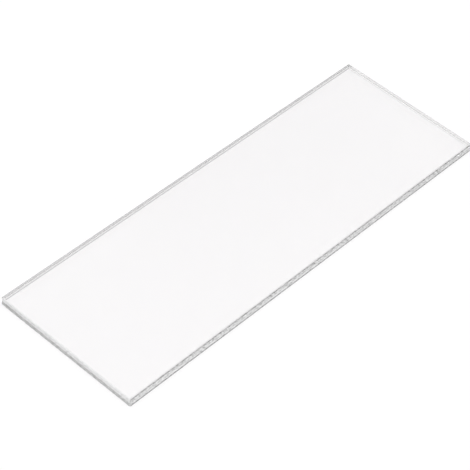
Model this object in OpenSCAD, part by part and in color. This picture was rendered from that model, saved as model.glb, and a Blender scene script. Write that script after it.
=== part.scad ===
// Clear glass plate: one flat piece of float glass, lying on its underside.
// Its four edges are ground flat. A narrow seam at 45 degrees takes the sharpness
// off the rim of both faces, and a small flat takes the point off each corner.
// The origin is the middle of the underside. +X runs along the plate, +Z up.

/* [Plate] */
// Length of the plate, from ground edge to ground edge along X
plate_length = 300; // [60:5:1200]
// Width of the plate, from ground edge to ground edge along Y
plate_width = 100; // [40:5:600]
// Thickness of the glass
glass_thickness = 6; // [3:1:19]

/* [Edge work] */
// Width of the seam, measured across the face and down the edge alike
seam_leg = 0.5; // [0.2:0.1:1.4]
// Length that the flat at each corner takes off the two edges beside it
corner_dub = 0.5; // [0.3:0.1:8]

/* [Hidden] */

// Turns about Z that face the edge work to the ends, the sides and the two diagonals
END_TURN = 0;
SIDE_TURN = 90;
DIAGONAL_TURNS = [45, -45];

// Distance between two corner flats that face each other across the plate
dub_span = (plate_length + plate_width - 2 * corner_dub) / sqrt(2);

// Length of a slab that passes every corner of the plate
slab_run = plate_length + plate_width;

// Section through two ground edges that lie span apart, with its four seams
module seamed_section(span) {
    edge = span / 2;
    face = edge - seam_leg;
    low = seam_leg;
    high = glass_thickness - seam_leg;
    polygon([
        [-face, 0], [face, 0],
        [edge, low], [edge, high],
        [face, glass_thickness], [-face, glass_thickness],
        [-edge, high], [-edge, low]
    ]);
}

// Slab of the glass's thickness, ground and seamed on two opposite edges only
module ground_slab(span, turn) {
    rotate([0, 0, turn])
        rotate([90, 0, 0])
            linear_extrude(height = slab_run, center = true)
                seamed_section(span);
}

// The plate is what the slabs share, so each seam runs on round the corner flats
module glass_plate() {
    color("azure", 0.5)
        intersection() {
            ground_slab(plate_length, END_TURN);
            ground_slab(plate_width, SIDE_TURN);
            ground_slab(dub_span, DIAGONAL_TURNS[0]);
            ground_slab(dub_span, DIAGONAL_TURNS[1]);
        }
}

glass_plate();
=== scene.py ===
import math

import bmesh
import bpy
from mathutils import Matrix, Vector


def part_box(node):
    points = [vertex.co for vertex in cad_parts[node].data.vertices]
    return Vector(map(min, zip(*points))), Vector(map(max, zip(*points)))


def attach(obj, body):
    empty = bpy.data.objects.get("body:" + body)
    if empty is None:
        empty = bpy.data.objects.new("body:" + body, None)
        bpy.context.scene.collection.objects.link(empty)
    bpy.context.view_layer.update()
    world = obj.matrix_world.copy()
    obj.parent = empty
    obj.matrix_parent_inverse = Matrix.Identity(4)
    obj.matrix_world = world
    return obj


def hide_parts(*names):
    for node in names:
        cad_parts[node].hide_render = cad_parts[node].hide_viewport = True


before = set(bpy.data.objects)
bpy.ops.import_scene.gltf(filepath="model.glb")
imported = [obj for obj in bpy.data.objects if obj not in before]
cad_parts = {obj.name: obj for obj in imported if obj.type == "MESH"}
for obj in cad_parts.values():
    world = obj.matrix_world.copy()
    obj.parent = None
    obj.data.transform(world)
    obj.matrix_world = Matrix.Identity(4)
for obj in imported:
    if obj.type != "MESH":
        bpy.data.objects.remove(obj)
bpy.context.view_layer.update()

MM = 0.001

# Edge work of the plate, and how far a face may lean and still count as level or upright
SEAM_LEG = 0.5 * MM
CORNER_DUB = 0.5 * MM
LEAN = 0.1

# Camera, as it looks down on the plate
VIEW_AZIMUTH = math.radians(-53.37)
VIEW_ELEVATION = math.radians(45.14)
VIEW_ROLL = math.radians(8.14)
VIEW_DISTANCE = 1.132
VIEW_LENS = 148.6
SENSOR_WIDTH = 36.0
PLATE_RIGHT_OF_CENTRE = 8.75 * MM
PLATE_ABOVE_CENTRE = 11.0 * MM

REFRACTION = 1.52

# Clear faces: two near-white tones that drift into each other like a faint wipe mark
CLEAR_TONES = ((0.0, (0.970, 0.966, 0.968)), (1.0, (0.982, 0.980, 0.981)))
WIPE_PITCH = 90 * MM

# Painted shade on both faces beside the rims, standing in for the ground rims seen through the glass:
# its strength from the rim (0) inwards as far as it could reach (1), and the tone of each face where it
# is strongest
RIM_SHADE_REACH = 2.0 * MM
RIM_SHADE_BANDS = ((0.00, 0.40), (0.38, 0.40), (0.48, 1.00), (0.60, 1.00), (0.72, 0.00))
TOP_RIM_SHADE = {"front": 0.80, "left": 1.00, "back": 0.82, "right": 0.55}
UNDER_RIM_SHADE = {"front": 1.00, "left": 1.00, "back": 0.38, "right": 0.82}

# Ground flats: share of light let through and roughness, coarse in front and fine behind
COARSE_EDGES = ("front", "left")
COARSE_CLEARNESS = 0.65
COARSE_ROUGHNESS = 0.30
FINE_EDGES = ("back", "right")
FINE_CLEARNESS = 1.00
FINE_ROUGHNESS = 0.15

# Tones of the ground flats, from the bottom of the flat (0) to its top (1): painted light and shade in
# bands by height
FLAT_LIGHT_AND_SHADE = {
    "front": ((0.00, 0.14), (0.14, 0.14), (0.24, 1.00), (0.42, 1.00), (0.52, 0.82), (1.00, 0.82)),
    "left": ((0.00, 0.50), (0.46, 0.50), (0.66, 1.00), (1.00, 1.00)),
    "back": ((0.00, 0.80), (0.10, 1.00)),
    "right": ((0.00, 0.85), (0.10, 1.00)),
}

# Upper seams and corner flats: matt, each with its own tone of painted light and shade, lighter or
# darker by how the light falls on that side
SEAM_ROUGHNESS = 0.7
SEAM_SHINE = 0.0
SEAM_LIGHT_AND_SHADE = {"front": 0.50, "left": 0.92, "back": 0.32, "right": 0.45}
CORNER_LIGHT_AND_SHADE = {"left front": 0.65, "left back": 0.12, "right front": 0.12, "right back": 0.90}

# Tint and mottle of all the ground faces
GROUND_TINT = (0.985, 1.0, 0.992)
MOTTLE_PITCH = 1.8 * MM
MOTTLE_LEAN = 0.8
MOTTLE_DETAIL = 3.0
MOTTLE_GRAIN = 0.65
FLAT_MOTTLE = {"front": 2.2, "left": 1.1, "back": 0.10, "right": 0.05}
SEAM_MOTTLE = {"front": 1.6, "left": 0.30, "back": 0.10, "right": 0.05}
CORNER_MOTTLE = 0.5

# Studio: a white backdrop round the horizon, grey walls, white screens past the ends and a softbox above
WALL = (0.24, 0.21, 0.225)
BACKDROP = (0.75, 0.78, 0.77)
BACKDROP_FROM, BACKDROP_TO = 0.34, 0.22
CEILING = (1.5, 1.5, 1.5)
CEILING_FROM, CEILING_TO = 0.60, 1.05
SCREEN = (0.6, 0.6, 0.6)
SCREEN_FROM, SCREEN_TO = 0.5, 0.9
FLOOR_SIZE = 6.0
FLOOR_DROP = 0.02 * MM
FLOOR_GLOW = 0.80
FLOOR_SHADE = 0.25
LIGHT_BOUNCES = 128

# Material slots of the plate
CLEAR, COARSE, FINE, SEAM = range(4)


def place_of(normal):
    """Which edge or corner of the plate a face with this normal belongs to."""
    end = "right" if normal.x > 0 else "left"
    side = "back" if normal.y > 0 else "front"
    if abs(abs(normal.x) - abs(normal.y)) < LEAN:
        return f"{end} {side}"
    return end if abs(normal.x) > abs(normal.y) else side


def finish_of(normal):
    """The slot of the finish that a face with this normal has, and the marks that steer it."""
    place = place_of(normal)
    if abs(normal.z) > 1 - LEAN:
        # Level faces carry painted shade beside the rims, with a tone for each edge, on top or
        # underneath
        rim_shade = TOP_RIM_SHADE if normal.z > 0 else UNDER_RIM_SHADE
        return CLEAR, {f"{edge}_haze": tone for edge, tone in rim_shade.items()}
    # Seams and corners: painted light and shade, one tone for each side or corner
    if place in CORNER_LIGHT_AND_SHADE:
        return SEAM, {"tone": CORNER_LIGHT_AND_SHADE[place], "mottle": CORNER_MOTTLE}
    if normal.z > LEAN:
        return SEAM, {"tone": SEAM_LIGHT_AND_SHADE[place], "mottle": SEAM_MOTTLE[place]}
    slot = FINE if place in FINE_EDGES else COARSE
    return slot, {place: 1.0, "mottle": FLAT_MOTTLE[place]}


def ground_plate(name):
    """The plate, with its corners dubbed, its rims seamed and each face given its finish."""
    low, high = (Vector(corner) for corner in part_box("glass_plate"))
    bm = bmesh.new()
    bmesh.ops.create_cube(bm, size=1.0)
    bmesh.ops.scale(bm, vec=high - low, verts=bm.verts)
    bmesh.ops.translate(bm, vec=(low + high) / 2, verts=bm.verts)
    upright = [e for e in bm.edges if abs(e.verts[0].co.z - e.verts[1].co.z) > SEAM_LEG]
    bmesh.ops.bevel(bm, geom=upright, offset=CORNER_DUB, offset_type="OFFSET", affect="EDGES",
                    segments=1, profile=0.5, material=-1)
    rims = [e for e in bm.edges if abs(e.verts[0].co.z - e.verts[1].co.z) < SEAM_LEG]
    bmesh.ops.bevel(bm, geom=rims, offset=SEAM_LEG, offset_type="OFFSET", affect="EDGES",
                    segments=1, profile=0.5, material=-1)
    names = (*FLAT_LIGHT_AND_SHADE, *(f"{edge}_haze" for edge in TOP_RIM_SHADE), "tone", "mottle")
    layers = {mark: bm.faces.layers.float.new(mark) for mark in names}
    for face in bm.faces:
        face.material_index, marks = finish_of(face.normal)
        for mark, value in marks.items():
            face[layers[mark]] = value
    mesh = bpy.data.meshes.new(name)
    bm.to_mesh(mesh)
    bm.free()
    plate = bpy.data.objects.new(name, mesh)
    bpy.context.collection.objects.link(plate)
    return plate


def new_material(name, finish):
    """A material with one shader on it, and its socket for the surface already filled."""
    mat = bpy.data.materials.new(name)
    mat.use_nodes = True
    tree = mat.node_tree
    tree.nodes.clear()
    out = tree.nodes.new("ShaderNodeOutputMaterial")
    shader = tree.nodes.new(finish)
    tree.links.new(shader.outputs[0], out.inputs["Surface"])
    return mat, tree, shader


def feed(tree, value, socket):
    """Gives a socket its value: another socket to follow, or a plain number or colour."""
    if isinstance(value, bpy.types.NodeSocket):
        tree.links.new(value, socket)
    else:
        socket.default_value = value


def arithmetic(tree, operation, *values):
    """One step of arithmetic on sockets or numbers."""
    node = tree.nodes.new("ShaderNodeMath")
    node.operation = operation
    for value, socket in zip(values, node.inputs):
        feed(tree, value, socket)
    return node.outputs[0]


def dimmed(tree, colour, amount):
    """A colour made brighter or darker by amount."""
    node = tree.nodes.new("ShaderNodeVectorMath")
    node.operation = "SCALE"
    feed(tree, colour, node.inputs[0])
    feed(tree, amount, node.inputs["Scale"])
    return node.outputs[0]


def spread(tree, value, start, full, low=0.0, high=1.0, interpolation="LINEAR"):
    """A value that goes from low to high as the one given goes from start to full."""
    node = tree.nodes.new("ShaderNodeMapRange")
    node.interpolation_type = interpolation
    node.inputs["From Min"].default_value = start
    node.inputs["From Max"].default_value = full
    tree.links.new(value, node.inputs["Value"])
    feed(tree, low, node.inputs["To Min"])
    feed(tree, high, node.inputs["To Max"])
    return node.outputs["Result"]


def graded(tree, value, stops):
    """The colour that value picks from stops, each a spot from 0 to 1 and its colour."""
    bands = tree.nodes.new("ShaderNodeValToRGB")
    ramp = bands.color_ramp
    while len(ramp.elements) < len(stops):
        ramp.elements.new(1.0)
    for element, (spot, colour) in zip(ramp.elements, stops):
        element.position = spot
        element.color = (*colour, 1)
    tree.links.new(value, bands.inputs["Fac"])
    return bands.outputs["Color"]


def greys(stops):
    """Stops for graded, each a spot and its grey, from a spot and one tone."""
    return [(spot, (tone, tone, tone)) for spot, tone in stops]


def position(tree):
    """Where a point of the plate lies: its X, Y and Z sockets by name, and the whole as Vector."""
    whole = tree.nodes.new("ShaderNodeTexCoord").outputs["Object"]
    split = tree.nodes.new("ShaderNodeSeparateXYZ")
    tree.links.new(whole, split.inputs["Vector"])
    return {"Vector": whole, **{axis: split.outputs[axis] for axis in "XYZ"}}


def face_mark(tree, mark):
    """The value that finish_of gave each face under this name."""
    node = tree.nodes.new("ShaderNodeAttribute")
    node.attribute_name = mark
    return node.outputs["Fac"]


def wheel_mottle():
    """Node group: Tone swings about 1 by Depth, in streaks that lean along the ground faces."""
    group = bpy.data.node_groups.new("wheel_mottle", "ShaderNodeTree")
    group.interface.new_socket("Depth", in_out="INPUT", socket_type="NodeSocketFloat")
    group.interface.new_socket("Tone", in_out="OUTPUT", socket_type="NodeSocketFloat")
    depth = group.nodes.new("NodeGroupInput")
    tone = group.nodes.new("NodeGroupOutput")
    place = position(group)
    run = arithmetic(group, "ADD", place["X"], place["Y"])
    lean = arithmetic(group, "MULTIPLY", place["Z"], MOTTLE_LEAN)
    streak = group.nodes.new("ShaderNodeCombineXYZ")
    group.links.new(arithmetic(group, "ADD", run, lean), streak.inputs["X"])
    group.links.new(place["Z"], streak.inputs["Z"])
    noise = group.nodes.new("ShaderNodeTexNoise")
    noise.inputs["Scale"].default_value = 1.0 / MOTTLE_PITCH
    noise.inputs["Detail"].default_value = MOTTLE_DETAIL
    noise.inputs["Roughness"].default_value = MOTTLE_GRAIN
    group.links.new(streak.outputs[0], noise.inputs["Vector"])
    swing = arithmetic(group, "SUBTRACT", arithmetic(group, "MULTIPLY", noise.outputs["Fac"], 2.0), 1.0)
    swing = arithmetic(group, "MULTIPLY", swing, depth.outputs["Depth"])
    group.links.new(arithmetic(group, "ADD", swing, 1.0), tone.inputs["Tone"])
    return group


def mottled(tree, tone, group):
    """The glass's tint at this tone of painted light and shade, made uneven by the mottle of the face
    that it is on.
    """
    node = tree.nodes.new("ShaderNodeGroup")
    node.node_tree = group
    tree.links.new(face_mark(tree, "mottle"), node.inputs["Depth"])
    uneven = arithmetic(tree, "MULTIPLY", tone, node.outputs["Tone"])
    uneven.node.use_clamp = True
    return dimmed(tree, GROUND_TINT, uneven)


def clear_faces():
    """Polished glass, with tones that drift faintly as after wiping, and painted shade beside its rims
    where the ground rims show through.
    """
    mat, tree, glass = new_material("clear_glass", "ShaderNodeBsdfPrincipled")
    glass.inputs["Transmission Weight"].default_value = 1.0
    glass.inputs["IOR"].default_value = REFRACTION
    glass.inputs["Roughness"].default_value = 0.0
    place = position(tree)
    wipe = tree.nodes.new("ShaderNodeTexNoise")
    wipe.inputs["Scale"].default_value = 1.0 / WIPE_PITCH
    wipe.inputs["Detail"].default_value = 0.0
    tree.links.new(place["Vector"], wipe.inputs["Vector"])
    low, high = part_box("glass_plate")
    distances = {
        "left": arithmetic(tree, "SUBTRACT", place["X"], low[0]),
        "right": arithmetic(tree, "SUBTRACT", high[0], place["X"]),
        "front": arithmetic(tree, "SUBTRACT", place["Y"], low[1]),
        "back": arithmetic(tree, "SUBTRACT", high[1], place["Y"]),
    }
    # Painted shade: each face darkens in bands near each rim, by that edge's tone
    tone = 1.0
    for edge, distance in distances.items():
        strength = graded(tree, spread(tree, distance, 0.0, RIM_SHADE_REACH), greys(RIM_SHADE_BANDS))
        rim_shade = spread(tree, strength, 0.0, 1.0, 1.0, face_mark(tree, f"{edge}_haze"))
        tone = arithmetic(tree, "MULTIPLY", rim_shade, tone)
    colour = dimmed(tree, graded(tree, wipe.outputs["Fac"], CLEAR_TONES), tone)
    tree.links.new(colour, glass.inputs["Base Color"])
    return mat


def ground_flats(name, edges, clearness, roughness, group):
    """The sides and ends named in edges: ground flat, with painted light and shade in bands by height,
    and mottled by the wheel.
    """
    mat, tree, flat = new_material(name, "ShaderNodeBsdfPrincipled")
    flat.inputs["Transmission Weight"].default_value = clearness
    flat.inputs["IOR"].default_value = REFRACTION
    flat.inputs["Roughness"].default_value = roughness
    low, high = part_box("glass_plate")
    height = spread(tree, position(tree)["Z"], low[2] + SEAM_LEG, high[2] - SEAM_LEG)
    total = 0.0
    for edge in edges:
        # Painted light and shade: this edge's bands of tone by height
        bands = graded(tree, height, greys(FLAT_LIGHT_AND_SHADE[edge]))
        share = arithmetic(tree, "MULTIPLY", bands, face_mark(tree, edge))
        total = arithmetic(tree, "ADD", share, total)
    tree.links.new(mottled(tree, total, group), flat.inputs["Base Color"])
    return mat


def ground_seams(group):
    """The upper seams and the corner flats, ground matt, in tones of painted light and shade, and
    mottled by the wheel.
    """
    mat, tree, matt = new_material("ground_seam", "ShaderNodeBsdfPrincipled")
    matt.inputs["IOR"].default_value = REFRACTION
    matt.inputs["Roughness"].default_value = SEAM_ROUGHNESS
    matt.inputs["Specular IOR Level"].default_value = SEAM_SHINE
    tree.links.new(mottled(tree, face_mark(tree, "tone"), group), matt.inputs["Base Color"])
    return mat


def floor():
    """A plain white floor that glows, so that it reads as white and keeps a faint shadow."""
    bm = bmesh.new()
    bmesh.ops.create_grid(bm, x_segments=1, y_segments=1, size=FLOOR_SIZE / 2)
    mesh = bpy.data.meshes.new("floor")
    bm.to_mesh(mesh)
    bm.free()
    obj = bpy.data.objects.new("floor", mesh)
    obj.location.z = -FLOOR_DROP
    bpy.context.collection.objects.link(obj)
    mat, tree, both = new_material("white_floor", "ShaderNodeAddShader")
    matt = tree.nodes.new("ShaderNodeBsdfDiffuse")
    matt.inputs["Color"].default_value = (FLOOR_SHADE, FLOOR_SHADE, FLOOR_SHADE, 1)
    glow = tree.nodes.new("ShaderNodeEmission")
    glow.inputs["Strength"].default_value = FLOOR_GLOW
    tree.links.new(matt.outputs[0], both.inputs[0])
    tree.links.new(glow.outputs[0], both.inputs[1])
    mesh.materials.append(mat)


def studio():
    """Soft light from above and from both ends, over grey walls and a white backdrop."""
    world = bpy.data.worlds.new("studio")
    bpy.context.scene.world = world
    world.use_nodes = True
    tree = world.node_tree
    tree.nodes.clear()
    out = tree.nodes.new("ShaderNodeOutputWorld")
    coord = tree.nodes.new("ShaderNodeTexCoord")
    split = tree.nodes.new("ShaderNodeSeparateXYZ")
    tree.links.new(coord.outputs["Generated"], split.inputs["Vector"])
    height = split.outputs["Z"]
    sideways = arithmetic(tree, "ABSOLUTE", split.outputs["X"])
    areas = (
        (height, CEILING_FROM, CEILING_TO, CEILING),
        (sideways, SCREEN_FROM, SCREEN_TO, SCREEN),
        (height, BACKDROP_FROM, BACKDROP_TO, BACKDROP),
    )
    room = WALL
    for value, start, full, colour in areas:
        rise = spread(tree, value, start, full, interpolation="SMOOTHSTEP")
        lit = tree.nodes.new("ShaderNodeVectorMath")
        lit.operation = "ADD"
        feed(tree, dimmed(tree, colour, rise), lit.inputs[0])
        feed(tree, room, lit.inputs[1])
        room = lit.outputs[0]
    light = tree.nodes.new("ShaderNodeBackground")
    tree.links.new(room, light.inputs["Color"])
    tree.links.new(light.outputs[0], out.inputs["Surface"])


def camera():
    """The camera, above the plate's near corner, turned so that the plate lies as in the picture."""
    a, e = VIEW_AZIMUTH, VIEW_ELEVATION
    back = Vector((math.sin(a) * math.cos(e), -math.cos(a) * math.cos(e), math.sin(e)))
    level = (-back).cross(Vector((0, 0, 1))).normalized()
    turn = Matrix.Rotation(VIEW_ROLL, 3, back)
    right = turn @ level
    up = back.cross(right)
    low, high = (Vector(corner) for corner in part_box("glass_plate"))
    middle = Vector(((low.x + high.x) / 2, (low.y + high.y) / 2, high.z))
    place = middle + VIEW_DISTANCE * back - PLATE_RIGHT_OF_CENTRE * right - PLATE_ABOVE_CENTRE * up
    data = bpy.data.cameras.new("camera")
    data.lens = VIEW_LENS
    data.sensor_width = SENSOR_WIDTH
    cam = bpy.data.objects.new("camera", data)
    turned = Matrix((right, up, back)).transposed().to_4x4()
    cam.matrix_world = Matrix.Translation(place) @ turned
    bpy.context.collection.objects.link(cam)
    bpy.context.scene.camera = cam


plate = ground_plate("ground_glass_plate")
wheel = wheel_mottle()
finishes = {
    CLEAR: clear_faces(),
    COARSE: ground_flats("coarse_flat", COARSE_EDGES, COARSE_CLEARNESS, COARSE_ROUGHNESS, wheel),
    FINE: ground_flats("fine_flat", FINE_EDGES, FINE_CLEARNESS, FINE_ROUGHNESS, wheel),
    SEAM: ground_seams(wheel),
}
for slot in sorted(finishes):
    plate.data.materials.append(finishes[slot])
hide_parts("glass_plate")
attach(plate, "root")
floor()
studio()
camera()

scene = bpy.context.scene
scene.view_settings.view_transform = "Standard"
scene.cycles.max_bounces = LIGHT_BOUNCES
scene.cycles.transmission_bounces = LIGHT_BOUNCES
scene.cycles.glossy_bounces = LIGHT_BOUNCES
scene.cycles.blur_glossy = 0.0

bpy.context.view_layer.update()
